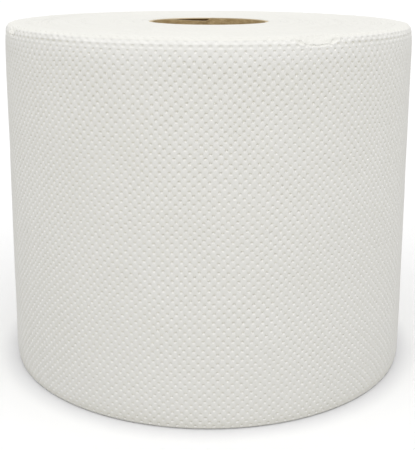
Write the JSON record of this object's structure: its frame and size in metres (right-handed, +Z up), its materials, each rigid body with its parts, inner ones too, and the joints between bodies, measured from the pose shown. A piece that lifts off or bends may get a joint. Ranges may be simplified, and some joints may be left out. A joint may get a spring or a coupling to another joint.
{
  "type": "paper towel roll",
  "caption": "White embossed paper towel wound on a spiral-wound card core, standing on its cut end, with a softened upper rim and thumb dents.",
  "frame": {"origin": "middle of the lower cut end, on the core's axis, where the roll stands", "axes": "+Z up along the core, -Y towards the front of the picture, +X to the right in it"},
  "size_m": [0.1996, 0.1994, 0.168],
  "materials": {
    "tissue": "matt white embossed tissue",
    "core_card": "raw grey-brown core board"
  },
  "bodies": {
    "root": {"paper_roll": "tissue", "core_tube": "core_card"}
  },
  "joints": []
}
